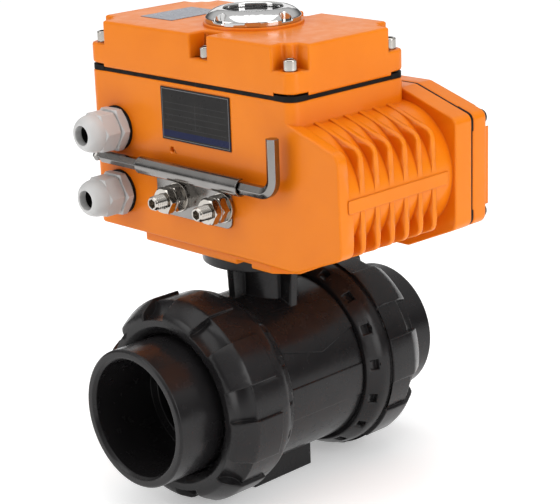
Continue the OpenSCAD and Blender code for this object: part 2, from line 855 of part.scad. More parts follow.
worm_half = 16;
worm_core_r = worm_pitch_r - 1.2;
worm_tip_r = worm_pitch_r + 1;
worm_lead = PI * worm_module;

module worm_shaft() {
    color(steel) at_worm() bar_y(-34, plane_2[1] + 3, shaft_r);
}

// One thread of the worm, as a strip swept along its helix
module worm_thread() {
    per_turn = 24;
    turns = (2 * worm_half - 3) / worm_lead;
    steps = floor(turns * per_turn);
    root = 0.78;
    crest = 0.24;
    sunk = worm_core_r - 0.4;
    profile = [[sunk, -root], [worm_tip_r, -crest], [worm_tip_r, crest], [sunk, root]];
    start = -steps / 2;
    rings = [for (i = [0:steps], p = profile)
        let (a = (start + i) * 360 / per_turn)
        [p[0] * cos(a), p[0] * sin(a), worm_lead * a / 360 + p[1]]];
    sides = [for (i = [0:steps - 1], j = [0:3])
        [4 * i + j, 4 * i + (j + 1) % 4, 4 * i + 4 + (j + 1) % 4, 4 * i + 4 + j]];
    last = 4 * steps;
    polyhedron(rings, concat([[3, 2, 1, 0]], sides, [[last, last + 1, last + 2, last + 3]]));
}

module worm() {
    color(steel) at_worm() rotate([90, 0, 0]) difference() {
        union() {
            translate([0, 0, -worm_half]) cylinder(h = 2 * worm_half, r = worm_core_r, $fn = 48);
            worm_thread();
        }
        translate([0, 0, -worm_half - overcut])
            cylinder(h = 2 * worm_half + 2 * overcut, r = shaft_r + 0.1, $fn = 48);
    }
}

wheel_z = [worm_z - 4.5, worm_z + 4.5];

module worm_wheel() {
    color(brass) {
        translate([0, 0, wheel_z[0]]) linear_extrude(wheel_z[1] - wheel_z[0]) difference() {
            gear_outline(worm_module, wheel_teeth, 14.5, 0.5, 0.85, 1.3);
            circle(mid_r);
        }
        tube_z(wheel_z[0] - 2.5, wheel_z[1] + 2, mid_r, 12.5);
    }
}

// Sector that meets one stop screw at each end of the quarter turn
module stop_cam() {
    color(steel) translate([0, 0, stop_z - 4]) linear_extrude(8) difference() {
        intersection() {
            circle(21.5);
            union() {
                translate([stop_face_y, stop_face_y]) square(60);
                circle(12.5);
            }
        }
        circle(mid_r);
    }
}

module output_shaft() {
    color(steel) difference() {
        union() {
            translate([0, 0, output_z0]) cylinder(h = 158.5 - output_z0, r = hub_r);
            translate([0, 0, 158]) cylinder(h = 64, r = mid_r);
            translate([0, 0, 221]) cylinder(h = 24, r = 5);
        }
        translate([0, 0, output_z0 - overcut]) linear_extrude(19 + overcut) square(11.4, center = true);
    }
}

module output_bush() color(brass) tube_z(137.4, 150, hub_r + running, 15.5);
module output_seal() color(rubber) tube_z(133, 137.2, hub_r + slip, 15.5);

// ---------------------------------------------------------------- deck and electrics

board_z = 206;
capacitor_r = 11.5;
capacitor_z = 225;
standoffs = [[-68, -30], [-68, 30], [-28, -30], [-28, 30]];
deck_screws = [[-55, -28], [-55, 28], [-8, -31], [-8, 31]];

module deck_plate() {
    color(steel) difference() {
        union() {
            box([-72, -33.5, deck_z], [20, 34.5, deck_z + deck_t]);
            for (p = standoffs) translate([p[0], p[1], deck_z]) cylinder(h = board_z - deck_z, r = 2.5);
            // Upright that carries the switches
            box([-26.5, -12, deck_z], [-25, 12, 205.5]);
        }
        translate([0, 0, deck_z - overcut]) cylinder(h = 10, r = mid_r + slip);
        for (p = deck_screws) translate([p[0], p[1], deck_z - overcut]) cylinder(h = 10, r = 1.7);
        for (p = standoffs) translate([p[0], p[1], board_z - 8]) cylinder(h = 10, r = 1.2);
        // Room for the bosses of the lid bolts
        at_lid_bolts() translate([0, 0, deck_z - overcut]) cylinder(h = 10, r = corner_r + 1);
    }
}

// Pan-head screw standing on z, pointing down
module small_screw(z, r, length) {
    translate([0, 0, z - length]) cylinder(h = length, r = r);
    translate([0, 0, z]) difference() {
        cylinder(h = 2, r = 2 * r);
        translate([0, 0, 1]) cylinder(h = 2, r = 0.8 * r, $fn = 6);
    }
}

module inner_screws() {
    color(steel) {
        for (p = deck_screws) translate([p[0], p[1], 0]) small_screw(deck_z + deck_t, 1.5, 10);
        for (p = standoffs) translate([p[0], p[1], 0]) small_screw(board_z + 1.6, 1.2, 8);
        for (p = plate_screws) translate([p[0], pocket_y + 2.4, p[1]]) rotate([-90, 0, 0]) {
            cylinder(h = 1.6, r = 2.8);
            translate([0, 0, -2.2]) cylinder(h = 2.5, r = 1.6);
        }
    }
}

module switch_cams() {
    color("ivory") for (i = [0, 1])
        rotate(i * 90) translate([0, 0, 190.5 + i * 7]) linear_extrude(5) difference() {
            union() {
                circle(11);
                intersection() {
                    circle(12.6);
                    polygon([[0, 0], [-30, -11], [-30, 11]]);
                }
            }
            circle(mid_r);
        }
}

module micro_switches() {
    for (z = [189.8, 197]) {
        color("black") box([-25, -10, z], [-15.5, 10, z + 6.4]);
        // Roller lever, and the tags behind
        color(steel) box([-15.5, -9, z + 1.5], [-14.6, 6, z + 5]);
        color(steel) for (y = [-7, 0, 7]) box([-25.1, y - 1.5, z + 6.3], [-20, y + 1.5, z + 6.7]);
    }
}

module terminal_block() {
    color("seagreen") difference() {
        box([-72.5, -27, board_z + 1.6], [-61, 27, board_z + 13]);
        // A screw and a wire entry for each of the eight poles
        for (i = [0:7]) {
            y = -23.6 + i * 6.75;
            translate([-66.5, y, board_z + 8]) cylinder(h = 10, r = 1.9);
            translate([-73.5, y, board_z + 5]) rotate([0, 90, 0]) cylinder(h = 7, r = 1.6);
        }
    }
}

module control_board() {
    color("darkgreen") difference() {
        box([-73, -33, board_z], [-24, 33, board_z + 1.6]);
        for (p = standoffs) translate([p[0], p[1], board_z - overcut]) cylinder(h = 5, r = 1.3);
    }
    // Relays, transformer and fuse
    color("black") for (y = [-22, -2]) box([-60, y, board_z + 1.6], [-44, y + 15, board_z + 14]);
    color("dimgray") box([-41, -20, board_z + 1.6], [-26, 16, board_z + 16]);
    color("ivory") translate([-52, 27, board_z + 4.6]) rotate([0, 90, 0]) cylinder(h = 18, r = 3);
}

module capacitor() {
    color("lightgray") translate([47, 0, capacitor_z]) {
        bar_y(-26, 24, capacitor_r);
        bar_y(24, 27, 9);
        for (x = [-3.5, 3.5]) translate([x, 0, 0]) bar_y(27, 31, 0.9);
    }
}

// ---------------------------------------------------------------- valve body

module valve_body() {
    color(pvc) difference() {
        union() {
            translate([0, 0, axis_z]) {
                bar_y(-body_half, body_half, body_r);
                bar_y(-end_y, end_y, thread_r);
                // Raised saddle under the neck, lowest at mid length
                intersection() {
                    bar_y(-body_half, body_half, body_r + 0.9);
                    rotate([90, 0, 90]) linear_extrude(100, center = true) polygon([
                        [-29, 27], [0, 20], [29, 27], [29, 60], [-29, 60]]);
                }
                // Raised panel on the right side
                intersection() {
                    bar_y(-body_half, body_half, body_r + 0.7);
                    box([30, -27, -11], [60, 27.5, 7]);
                }
            }
            // Foot
            box([-foot_x, foot_front, 0], [foot_x, foot_rear, 25]);
            // Neck with four ribs, and the mounting pad
            translate([0, 0, 98]) cylinder(h = pad_top - 98, r = neck_r);
            for (a = [0:90:270]) rotate(a) rotate([90, 0, 0]) linear_extrude(5, center = true)
                polygon([[0, 97], [23.2, 97], [24.8, pad_top - pad_t + 1], [0, pad_top - pad_t + 1]]);
            translate([0, 0, pad_top - pad_t]) cylinder(h = pad_t, r = pad_r);
        }
        translate([0, 0, axis_z]) {
            bar_y(-end_y - overcut, seat_face, cavity_r);
            bar_y(0, seat_back, seat_r);
            bar_y(0, end_y + overcut, passage_r);
        }
        translate([0, 0, 90]) cylinder(h = 60, r = stem_r + running);
        at_pad_bolts() {
            translate([0, 0, pad_top - pad_t - overcut]) cylinder(h = pad_t + 2 * overcut, r = 3.3);
            translate([0, 0, pad_top - pad_t - overcut]) cylinder(h = head_depth + overcut, r = 6.2);
        }
        for (y = insert_y) translate([0, y, -overcut]) cylinder(h = 10 + overcut, r = 4);
    }
}

module foot_inserts() {
    color(brass) for (y = insert_y) translate([0, y, 0]) tube_z(0, 10, 2.5, 4);
}

module ball() {
    color("whitesmoke") translate([0, 0, axis_z]) difference() {
        sphere(r = ball_r, $fn = 96);
        bar_y(-50, 50, passage_r);
        box([-4.1, -9, 29], [4.1, 9, 40]);
    }
}

module valve_stem() {
    color(pvc) difference() {
        union() {
            box([-4, -8, axis_z + 29.3], [4, 8, 98.5]);
            translate([0, 0, 97]) cylinder(h = 35, r = stem_r);
            box([-5.5, -5.5, 131], [5.5, 5.5, 151]);
        }
        for (z = [104, 113]) tube_z(z, z + 2.4, 6.8, 12);
    }
}

module stem_orings() {
    color(rubber) for (z = [105.2, 114.2]) translate([0, 0, z]) rotate_extrude()
        translate([7.9, 0]) circle(r = 1.1, $fn = 24);
}

// A ring that carries the ball: its dish follows the ball
module ball_seat() {
    difference() {
        tube_y(seat_face, seat_back, passage_r, seat_r);
        sphere(r = ball_r + slip, $fn = 96);
    }
}

module ball_seats() {
    color("whitesmoke") translate([0, 0, axis_z]) {
        ball_seat();
        mirror([0, 1, 0]) ball_seat();
    }
}

module seat_carrier() {
    color(pvc) translate([0, 0, axis_z]) difference() {
        bar_y(-end_y, -seat_face, cavity_r);
        bar_y(-seat_back, 0, seat_r);
        bar_y(-end_y - overcut, 0, passage_r);
        // Slots for the spanner that turns the carrier
        for (x = [-1, 1]) box([x * 34.5 - 2.5, -end_y - overcut, -3], [x * 34.5 + 2.5, -end_y + 4, 3]);
    }
}

// ---------------------------------------------------------------- unions

module end_connector() {
    mouth = half_length;
    color(pvc) translate([0, 0, axis_z]) turned_y() polygon([
        [passage_r, end_y], [29.2, end_y], [29.2, end_y + 2.4], [32.8, end_y + 2.4], [32.8, end_y],
        [collar_r, end_y], [collar_r, collar_y], [socket_outer_r, collar_y],
        [socket_outer_r, mouth - 1], [socket_outer_r - 1, mouth], [socket_r + 1.6, mouth],
        [socket_r, mouth - 1.6], [socket_r, collar_y - 0.4], [passage_r, collar_y - 0.4]]);
}
module end_connector_rear() end_connector();
module end_connector_front() mirror([0, 1, 0]) end_connector();

module face_orings() {
    color(rubber) translate([0, 0, axis_z]) for (y = [-end_y - 1.2, end_y + 1.2])
        translate([0, y, 0]) rotate([90, 0, 0]) rotate_extrude() translate([31, 0]) circle(r = 1.2, $fn = 24);
}

pocket_angle = 19.5;
pocket_floor = nut_r - 1.8;

// One grip pocket, centred on +X: deep in the bevel, shallow along the nut
module grip_pocket() {
    rotate([-90, 0, 0]) rotate([0, 0, -pocket_angle / 2]) rotate_extrude(angle = pocket_angle) polygon(concat(
        [[nut_r + 4, 43], [pocket_floor, 43]],
        [for (t = [0:15:90]) [pocket_floor - 8 * sin(t), 60 + 12.2 * (1 - cos(t))]],
        [[nut_r + 4, 72.2]]));
}

module union_nut(pocket_phase, notch_phase) {
    color(pvc) translate([0, 0, axis_z]) difference() {
        turned_y() polygon([
            [thread_r + slip, body_half + slip], [49.6, body_half + slip], [53.6, 35.6], [54.6, 38.5],
            [54.6, 43], [nut_r, 43], [nut_r, 59.5], [55.9, 61.5], [52.4, 68],
            [50.6, 70.6], [48.6, 71.7], [46.4, nut_face], [43, nut_face], [39.2, 69.2], [38.3, 68],
            [38.3, collar_y + slip], [thread_r + slip, collar_y + slip]]);
        for (k = [0:nut_pockets - 1]) rotate([0, -(pocket_phase + k * 360 / nut_pockets), 0]) grip_pocket();
        for (k = [0:nut_notches - 1]) rotate([0, -(notch_phase + k * 360 / nut_notches), 0])
            box([50.5, 27, -2.8], [58, 34.8, 2.8]);
    }
}
module union_nut_rear() union_nut(27.75, 5.8);
module union_nut_front() mirror([0, 1, 0]) union_nut(12.25, 5.8);

module pad_bolts() {
    seat = pad_top - pad_t + head_depth;
    color(steel) at_pad_bolts() {
        translate([0, 0, seat - 0.5]) cylinder(h = 10, r = 2.95);
        translate([0, 0, seat - 4.2]) cylinder(h = 4.2, r = 5.2, $fn = 6);
    }
}

// ---------------------------------------------------------------- output

lower_housing();
top_cover();
cover_gasket();
cover_bolts();
rear_cover();
rear_cover_gasket();
rear_cover_screws();
indicator_bezel();
sight_window();
window_seal();
indicator_disc();
nameplate();
lid_label();
key_clip();
hex_key();
stop_screw_left();
stop_screw_right();
stop_lock_nuts();
stop_washers();
gland_bodies();
gland_cap_upper();
gland_cap_lower();
gland_gaskets();
gland_seals();
motor_stator();
motor_end_caps();
motor_rotor();
motor_pinion();
ball_bearings();
gear_plate();
idler_pin();
idler_gear();
worm_gear();
worm_shaft();
worm();
worm_wheel();
stop_cam();
output_shaft();
output_bush();
output_seal();
deck_plate();
inner_screws();
switch_cams();
micro_switches();
terminal_block();
control_board();
capacitor();
valve_body();
ball();
valve_stem();
stem_orings();
ball_seats();
seat_carrier();
end_connector_front();
end_connector_rear();
face_orings();
union_nut_front();
union_nut_rear();
pad_bolts();
foot_inserts();
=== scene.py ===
"""The looks of the motorized ball valve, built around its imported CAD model."""
import json
import math

import bmesh
import bpy
from mathutils import Matrix, Vector


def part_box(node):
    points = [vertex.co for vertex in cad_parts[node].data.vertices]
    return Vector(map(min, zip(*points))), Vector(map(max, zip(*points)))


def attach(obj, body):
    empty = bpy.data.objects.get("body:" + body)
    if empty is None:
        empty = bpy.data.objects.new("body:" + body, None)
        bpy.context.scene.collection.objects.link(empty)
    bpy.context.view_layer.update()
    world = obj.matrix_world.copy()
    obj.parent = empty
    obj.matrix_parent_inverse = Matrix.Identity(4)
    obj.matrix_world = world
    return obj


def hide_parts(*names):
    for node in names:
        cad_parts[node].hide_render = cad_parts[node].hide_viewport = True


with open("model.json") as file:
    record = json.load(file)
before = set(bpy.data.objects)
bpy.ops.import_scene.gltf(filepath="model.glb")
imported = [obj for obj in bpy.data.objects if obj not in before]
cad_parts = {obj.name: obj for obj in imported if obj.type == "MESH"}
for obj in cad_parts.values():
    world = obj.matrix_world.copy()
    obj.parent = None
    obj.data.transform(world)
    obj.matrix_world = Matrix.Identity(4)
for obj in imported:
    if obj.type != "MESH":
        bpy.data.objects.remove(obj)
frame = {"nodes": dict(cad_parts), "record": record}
NODES = frame["nodes"]
BODY_OF = {node: body for body, nodes in frame["record"]["behaviour"]["bodies"].items() for node in nodes}
SLOT_OF = {part["node"]: part["material_slot"] for part in frame["record"]["subparts"]}
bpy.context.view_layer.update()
MM = 0.001


# ---------------------------------------------------------------- view and light

CAMERA_AT = Vector((0.6555, -0.6305, 0.4022))
CAMERA_YAW = 0.79418
CAMERA_PITCH = 0.29566
CAMERA_ROLL = -0.033607
LENS = 112.57
WORLD_STRENGTH = 0.86
FLOOR_RADIUS = 6
FLOOR_DROP = 0.2
FLOOR_GLOW = 0.32

# Name, place, target, width and height in metres, power in watts
LIGHTS = [
    ("top_softbox", (0.1, -0.1, 1.3), (0, 0, 0.15), (1.2, 1.2), 5.5),
    ("right_softbox", (1.1, 0.05, 0.5), (0, 0, 0.15), (0.5, 0.9), 5),
    ("back_softbox", (-1.3, 1.2, 0.6), (0, 0, 0.25), (0.9, 0.35), 0.9),
    ("front_softbox", (-0.45, -1.0, 0.55), (0, 0, 0.15), (0.5, 0.9), 3.5),
]


def add_camera():
    """The camera stands where the photographer stood, turned by yaw, pitch and roll."""
    ahead = Vector((
        -math.sin(CAMERA_YAW) * math.cos(CAMERA_PITCH),
        math.cos(CAMERA_YAW) * math.cos(CAMERA_PITCH),
        -math.sin(CAMERA_PITCH),
    ))
    level = Vector((math.cos(CAMERA_YAW), math.sin(CAMERA_YAW), 0))
    upward = level.cross(ahead)
    right = level * math.cos(CAMERA_ROLL) + upward * math.sin(CAMERA_ROLL)
    up = upward * math.cos(CAMERA_ROLL) - level * math.sin(CAMERA_ROLL)
    camera = bpy.data.objects.new("camera", bpy.data.cameras.new("camera"))
    camera.data.lens = LENS
    camera.data.clip_start = 0.01
    camera.matrix_world = Matrix.LocRotScale(
        CAMERA_AT, Matrix((right, up, -ahead)).transposed().to_quaternion(), None
    )
    bpy.context.scene.collection.objects.link(camera)
    bpy.context.scene.camera = camera


def add_area_light(name, place, target, size, power):
    light = bpy.data.lights.new(name, "AREA")
    light.shape = "RECTANGLE"
    light.size, light.size_y = size
    light.energy = power
    lamp = bpy.data.objects.new(name, light)
    lamp.location = place
    lamp.rotation_euler = (Vector(target) - Vector(place)).to_track_quat("-Z", "Y").to_euler()
    bpy.context.scene.collection.objects.link(lamp)


def add_world():
    """Bright above, with a dark band round the horizon for metal to mirror."""
    world = bpy.data.worlds.new("studio")
    world.use_nodes = True
    bpy.context.scene.world = world
    tree = world.node_tree
    background = tree.nodes["Background"]
    place = tree.nodes.new("ShaderNodeTexCoord")
    split = tree.nodes.new("ShaderNodeSeparateXYZ")
    ramp = tree.nodes.new("ShaderNodeValToRGB")
    tree.links.new(place.outputs["Generated"], split.inputs[0])
    remap = tree.nodes.new("ShaderNodeMapRange")
    remap.inputs["From Min"].default_value = -1
    tree.links.new(split.outputs["Z"], remap.inputs["Value"])
    tree.links.new(remap.outputs[0], ramp.inputs[0])
    stops = [(0.0, 0.5), (0.49, 0.3), (0.53, 0.1), (0.6, 0.16), (0.72, 0.75), (1.0, 1.0)]
    fill_ramp(ramp, [(at, (grey, grey, grey)) for at, grey in stops])
    tree.links.new(ramp.outputs[0], background.inputs["Color"])
    background.inputs["Strength"].default_value = WORLD_STRENGTH


def add_floor():
    """A round pale floor, wide enough to fill the view."""
    bm = bmesh.new()
    bmesh.ops.create_circle(bm, cap_ends=True, segments=96, radius=FLOOR_RADIUS)
    floor = add_mesh("floor", bm)
    floor.location.z = -FLOOR_DROP * MM
    floor.data.materials.append(floor_paint())


# ---------------------------------------------------------------- meshes

def add_mesh(name, bm, smooth=False):
    mesh = bpy.data.meshes.new(name)
    bm.to_mesh(mesh)
    bm.free()
    piece = bpy.data.objects.new(name, mesh)
    bpy.context.scene.collection.objects.link(piece)
    if smooth:
        mesh.shade_smooth()
    return piece


ROOM_NEEDED = 2.1    # free width beside an edge for the full rounding, in rounding widths
LEAST_WEIGHT = 0.35  # below this share of the full width an edge stays sharp


def room_beside(face, edge, inset):
    """The shortest way across a face from one of its edges, measured at the middle and near both ends."""
    loop = next(loop for loop in face.loops if loop.edge == edge)
    start = loop.vert.co
    along = loop.link_loop_next.vert.co - start
    length = along.length
    along.normalize()
    inward = face.normal.cross(along)
    flat = [((v.co - start).dot(along), (v.co - start).dot(inward)) for v in face.verts]
    nearest = 1.0
    for at in (min(inset, length / 2), length / 2, max(length - inset, length / 2)):
        for (u0, v0), (u1, v1) in zip(flat, flat[1:] + flat[:1]):
            if (u0 - at) * (u1 - at) <= 0 and abs(u1 - u0) > 1e-9:
                across = v0 + (v1 - v0) * (at - u0) / (u1 - u0)
                if across > 1e-6:
                    nearest = min(nearest, across)
    return nearest


def ride_for(piece, node):
    """The piece takes the CAD node's place: its body, slot and paint."""
    piece.data.materials.append(MATERIALS[SLOT_OF[node]])
    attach(piece, BODY_OF[node])
    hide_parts(node)


def refined(node, width, segments=2, sharp=25, flat=0.6):
    """A copy of a CAD node with its faces joined up and its convex edges rounded.

    The rounding is as wide as asked where the faces beside an edge have room for it.
    """
    bm = bmesh.new()
    bm.from_mesh(NODES[node].data)
    bmesh.ops.remove_doubles(bm, verts=bm.verts, dist=2e-6)
    bmesh.ops.dissolve_limit(
        bm, angle_limit=math.radians(flat), verts=bm.verts, edges=bm.edges, use_dissolve_boundaries=False
    )
    weights = bm.edges.layers.float.new("bevel_weight_edge")
    for edge in bm.edges:
        turn = edge.calc_face_angle_signed(0) if len(edge.link_faces) == 2 else 0
        if abs(turn) > math.radians(sharp):
            weight = 0
            if turn > 0:
                room = min(room_beside(face, edge, 2 * width * MM) for face in edge.link_faces)
                weight = min(1, room / (ROOM_NEEDED * width * MM))
            if weight > LEAST_WEIGHT:
                edge[weights] = weight
            else:
                edge.smooth = False
    for face in bm.faces:
        face.smooth = True
    piece = add_mesh(node + "_look", bm)
    bevel = piece.modifiers.new("rounded edges", "BEVEL")
    bevel.limit_method = "WEIGHT"
    bevel.offset_type = "OFFSET"
    bevel.width = width * MM
    bevel.segments = segments
    bevel.use_clamp_overlap = False
    bevel.miter_outer = "MITER_ARC"
    cut = piece.modifiers.new("triangles", "TRIANGULATE")
    cut.ngon_method = "BEAUTY"
    cut.min_vertices = 5
    normals = piece.modifiers.new("flat faces stay flat", "WEIGHTED_NORMAL")
    normals.mode = "FACE_AREA"
    normals.weight = 100
    normals.keep_sharp = True
    ride_for(piece, node)


def lathe_y(name, x, z, rings, count):
    """A closed solid along Y through the rings, each a (y, radii) pair with one radius per corner."""
    sharp = math.radians(38)
    bm = bmesh.new()
    rows = []
    for y, radii in rings:
        rows.append([
            bm.verts.new((
                (x + radii[k] * math.cos(2 * math.pi * k / count)) * MM,
                y * MM,
                (z + radii[k] * math.sin(2 * math.pi * k / count)) * MM,
            ))
            for k in range(count)
        ])
    bm.faces.new(rows[0])
    bm.faces.new(list(reversed(rows[-1])))
    for one, two in zip(rows, rows[1:]):
        for k in range(count):
            bm.faces.new((one[k - 1], two[k - 1], two[k], one[k]))
    bmesh.ops.recalc_face_normals(bm, faces=bm.faces)
    for edge in bm.edges:
        if len(edge.link_faces) == 2 and edge.calc_face_angle(0) > sharp:
            edge.smooth = False
    return add_mesh(name, bm, smooth=True)


THREAD_RADIUS = 4.0
THREAD_DEPTH = 0.68
THREAD_PITCH = 1.25
THREAD_STEPS = 8     # rings along one pitch
SCREW_CORNERS = 36
SCREW_END_RADIUS = 3.2
SOCKET_HALF_FLATS = 2.3
SOCKET_DEPTH = 5
RUN_OUT = 0.8        # from the screw's ends to the first and last ring of its thread


def threaded_screw(node):
    """The stop screw with its thread cut as a helix and a hex socket in its tip."""
    low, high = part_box(node)
    x, z = (500 * (low[i] + high[i]) for i in (0, 2))
    tip, end = low[1] / MM, high[1] / MM
    corners = range(SCREW_CORNERS)
    sixth = math.pi / 6
    hexagon = [
        SOCKET_HALF_FLATS / math.cos((2 * math.pi * k / SCREW_CORNERS + sixth) % (2 * sixth) - sixth)
        for k in corners
    ]
    end_ring = [SCREW_END_RADIUS] * SCREW_CORNERS
    rings = [(tip + SOCKET_DEPTH, hexagon), (tip, hexagon), (tip, end_ring)]
    rows = int((end - tip - 2 * RUN_OUT) / THREAD_PITCH * THREAD_STEPS)
    for row in range(rows + 1):
        y = tip + RUN_OUT + row * THREAD_PITCH / THREAD_STEPS
        fade = min(1, (row + 2) / THREAD_STEPS, (rows - row + 2) / THREAD_STEPS)
        crest = THREAD_RADIUS - (1 - fade) * 0.3
        turns = [(y / THREAD_PITCH + k / SCREW_CORNERS) % 1 for k in corners]
        rings.append((y, [crest - THREAD_DEPTH * abs(2 * turn - 1) * fade for turn in turns]))
    rings.append((end, end_ring))
    ride_for(lathe_y(node + "_look", x, z, rings, SCREW_CORNERS), node)


# ---------------------------------------------------------------- materials

def fill_ramp(ramp, stops):
    """Sets a colour ramp's stops, each given as (place, (r, g, b))."""
    entries = ramp.color_ramp.elements
    while len(entries) > 1:
        entries.remove(entries[-1])
    entries[0].position = stops[0][0]
    entries[0].color = (*stops[0][1], 1)
    for place, colour in stops[1:]:
        entries.new(place).color = (*colour, 1)


class Paint:
    """A node material in the making, with its patterns laid out in metres."""

    def __init__(self, name, roughness=0.5, metallic=0.0, ior=1.5):
        self.material = bpy.data.materials.new(name)
        self.material.use_nodes = True
        self.tree = self.material.node_tree
        self.shader = self.tree.nodes["Principled BSDF"]
        self.shader.inputs["Roughness"].default_value = roughness
        self.shader.inputs["Metallic"].default_value = metallic
        self.shader.inputs["IOR"].default_value = ior
        self.place = self.add("ShaderNodeTexCoord").outputs["Object"]
        self.normal = None

    def add(self, kind, **settings):
        node = self.tree.nodes.new(kind)
        for key, value in settings.items():
            setattr(node, key, value)
        return node

    def link(self, source, target):
        self.tree.links.new(source, target)

    def noise(self, size, detail=2):
        """Noise whose blobs are about this many millimetres across."""
        node = self.add("ShaderNodeTexNoise")
        node.inputs["Scale"].default_value = 1 / (size * MM)
        node.inputs["Detail"].default_value = detail
        self.link(self.place, node.inputs["Vector"])
        return node.outputs["Fac"]

    def spots(self, size):
        """Distance to the nearest of many random points."""
        node = self.add("ShaderNodeTexVoronoi")
        node.inputs["Scale"].default_value = 1 / (size * MM)
        self.link(self.place, node.inputs["Vector"])
        return node.outputs["Distance"]

    def ramp(self, value, stops):
        node = self.add("ShaderNodeValToRGB")
        fill_ramp(node, stops)
        self.link(value, node.inputs[0])
        return node.outputs[0]

    def remap(self, value, low, high, start=0.0, end=1.0):
        """The value between start and end, spread from low to high."""
        node = self.add("ShaderNodeMapRange")
        for name, number in (("From Min", start), ("From Max", end), ("To Min", low), ("To Max", high)):
            node.inputs[name].default_value = number
        self.link(value, node.inputs["Value"])
        return node.outputs[0]

    def mix(self, share, first, second):
        """Colours or sockets mixed by a share; a tuple is taken as a fixed colour."""
        node = self.add("ShaderNodeMix", data_type="RGBA")
        self.link(share, node.inputs[0])
        for socket, value in ((node.inputs[6], first), (node.inputs[7], second)):
            if isinstance(value, tuple):
                socket.default_value = (*value, 1)
            else:
                self.link(value, socket)
        return node.outputs[2]

    def times(self, first, second):
        node = self.add("ShaderNodeMath", operation="MULTIPLY")
        self.link(first, node.inputs[0])
        self.link(second, node.inputs[1])
        return node.outputs[0]

    def painted_shade_in_hollows(self, size):
        """Mask for painted shade: 1 in corners and crevices about this many millimetres wide, 0 on open
        faces.
        """
        node = self.add("ShaderNodeAmbientOcclusion", samples=8)
        node.inputs["Distance"].default_value = size * MM
        return self.remap(node.outputs["AO"], 1, 0, 0.25, 1)

    def soft_edges(self, size):
        """Shades edges and corners as if rounded off by this many millimetres."""
        node = self.add("ShaderNodeBevel", samples=4)
        node.inputs["Radius"].default_value = size * MM
        self.normal = node.outputs[0]

    def within(self, axis, low, high):
        """1 where the place lies between two coordinates in millimetres along an axis, else 0."""
        split = self.add("ShaderNodeSeparateXYZ")
        self.link(self.place, split.inputs[0])
        above = self.add("ShaderNodeMath", operation="GREATER_THAN")
        below = self.add("ShaderNodeMath", operation="LESS_THAN")
        for node, limit in ((above, low), (below, high)):
            self.link(split.outputs[axis], node.inputs[0])
            node.inputs[1].default_value = limit * MM
        return self.times(above.outputs[0], below.outputs[0])

    def bump(self, height, depth, strength=1.0):
        """Adds relief; depth is the height of a full step in millimetres."""
        node = self.add("ShaderNodeBump")
        node.inputs["Strength"].default_value = strength
        node.inputs["Distance"].default_value = depth * MM
        self.link(height, node.inputs["Height"])
        if self.normal is not None:
            self.link(self.normal, node.inputs["Normal"])
        self.normal = node.outputs[0]

    def done(self, colour=None, roughness=None):
        if colour is not None:
            self.link(colour, self.shader.inputs["Base Color"])
        if roughness is not None:
            self.link(roughness, self.shader.inputs["Roughness"])
        if self.normal is not None:
            self.link(self.normal, self.shader.inputs["Normal"])
        return self.material


def floor_paint():
    paint = Paint("floor", roughness=0.9)
    tone = paint.remap(paint.noise(400), 0.94, 0.97)
    colour = paint.ramp(tone, [(0.0, (0.0, 0.0, 0.0)), (1.0, (1.0, 1.0, 1.0))])
    paint.shader.inputs["Emission Color"].default_value = (1, 1, 1, 1)
    paint.shader.inputs["Emission Strength"].default_value = FLOOR_GLOW
    return paint.done(colour)


def orange_casting():
    paint = Paint("orange_casting", ior=1.45)
    paint.soft_edges(0.9)
    shade = paint.noise(30, 3)
    colour = paint.ramp(shade, [(0.3, (0.74, 0.182, 0.002)), (0.7, (0.79, 0.205, 0.003))])
    # Painted shade: the orange is mixed towards a deeper orange in corners and crevices, where shade falls
    colour = paint.mix(paint.remap(paint.painted_shade_in_hollows(16), 0, 0.7), colour, (0.60, 0.085, 0.001))
    speck = paint.remap(paint.spots(9), 0.35, 0, 0, 0.03)
    colour = paint.mix(speck, colour, (0.45, 0.10, 0.01))
    roughness = paint.remap(paint.noise(6, 4), 0.28, 0.42, 0.3, 0.7)
    paint.bump(paint.noise(0.8, 1), 0.008)
    paint.bump(paint.noise(6, 2), 0.04, 0.4)
    paint.shader.inputs["Specular IOR Level"].default_value = 0.2
    paint.shader.inputs["Coat Weight"].default_value = 0.12
    paint.shader.inputs["Coat Roughness"].default_value = 0.12
    return paint.done(colour, roughness)


def dark_pvc():
    paint = Paint("dark_pvc", ior=1.36)
    paint.soft_edges(0.7)
    tone = paint.ramp(paint.noise(25, 4), [(0.3, (0.0085, 0.0080, 0.0085)), (0.7, (0.0125, 0.0115, 0.012))])
    dust = paint.remap(paint.spots(5), 0.6, 0, 0, 0.04)
    tone = paint.mix(dust, tone, (0.06, 0.058, 0.058))
    rough = paint.remap(paint.noise(7, 4), 0.2, 0.3, 0.3, 0.7)
    paint.bump(paint.noise(0.6, 2), 0.004)
    paint.shader.inputs["Specular IOR Level"].default_value = 0.42
    return paint.done(tone, rough)


def lined(paint, tone, lines, colour):
    """Thin printed lines, each given as (axis, middle, half width, other axis, low, high)."""
    for axis, middle, half, other, low, high in lines:
        share = paint.times(paint.within(axis, middle - half, middle + half), paint.within(other, low, high))
        tone = paint.mix(share, tone, colour)
    return tone


